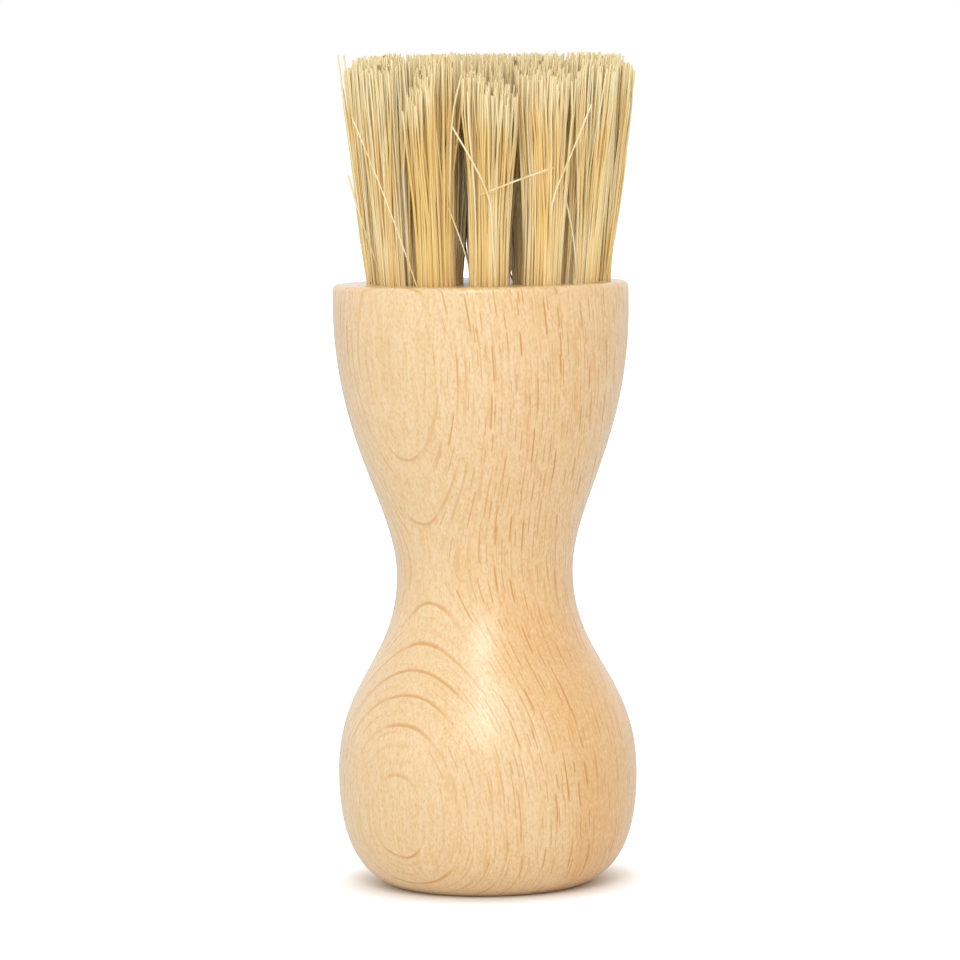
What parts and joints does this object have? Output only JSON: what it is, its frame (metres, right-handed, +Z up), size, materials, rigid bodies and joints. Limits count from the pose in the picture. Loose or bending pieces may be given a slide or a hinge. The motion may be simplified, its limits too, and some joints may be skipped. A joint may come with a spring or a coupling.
{
  "type": "wax applicator brush",
  "caption": "Upright hourglass brush with a turned wooden handle and round tufts of stiff plant fibre set in its flat end, for working wax or polish into a surface.",
  "frame": {"origin": "centre of the flat foot of the handle, on which the brush stands with its fibres upwards", "axes": "+Z up along the handle's turning axis, from the foot to the fibre tips; -Y towards the front, where the fibres are trimmed a little shorter; +X to the right seen from the front, the way in which the tuft field is offset"},
  "size_m": [0.0405, 0.04, 0.1108],
  "materials": {
    "beech": "turned and sanded pale beech with a thin satin oil finish",
    "plant_fibre": "stiff straw-coloured vegetable fibre, cut level at the tips",
    "anchor_wire": "plain flattened steel wire, cut to length"
  },
  "bodies": {
    "root": {"anchor_centre": "anchor_wire", "anchor_inner_01": "anchor_wire", "anchor_inner_02": "anchor_wire", "anchor_inner_03": "anchor_wire", "anchor_inner_04": "anchor_wire", "anchor_inner_05": "anchor_wire", "anchor_inner_06": "anchor_wire", "anchor_outer_01": "anchor_wire", "anchor_outer_02": "anchor_wire", "anchor_outer_03": "anchor_wire", "anchor_outer_04": "anchor_wire", "anchor_outer_05": "anchor_wire", "anchor_outer_06": "anchor_wire", "anchor_outer_07": "anchor_wire", "anchor_outer_08": "anchor_wire", "anchor_outer_09": "anchor_wire", "anchor_outer_10": "anchor_wire", "anchor_outer_11": "anchor_wire", "anchor_outer_12": "anchor_wire", "handle": "beech", "tuft_centre": "plant_fibre", "tuft_inner_01": "plant_fibre", "tuft_inner_02": "plant_fibre", "tuft_inner_03": "plant_fibre", "tuft_inner_04": "plant_fibre", "tuft_inner_05": "plant_fibre", "tuft_inner_06": "plant_fibre", "tuft_outer_01": "plant_fibre", "tuft_outer_02": "plant_fibre", "tuft_outer_03": "plant_fibre", "tuft_outer_04": "plant_fibre", "tuft_outer_05": "plant_fibre", "tuft_outer_06": "plant_fibre", "tuft_outer_07": "plant_fibre", "tuft_outer_08": "plant_fibre", "tuft_outer_09": "plant_fibre", "tuft_outer_10": "plant_fibre", "tuft_outer_11": "plant_fibre", "tuft_outer_12": "plant_fibre"}
  },
  "joints": []
}
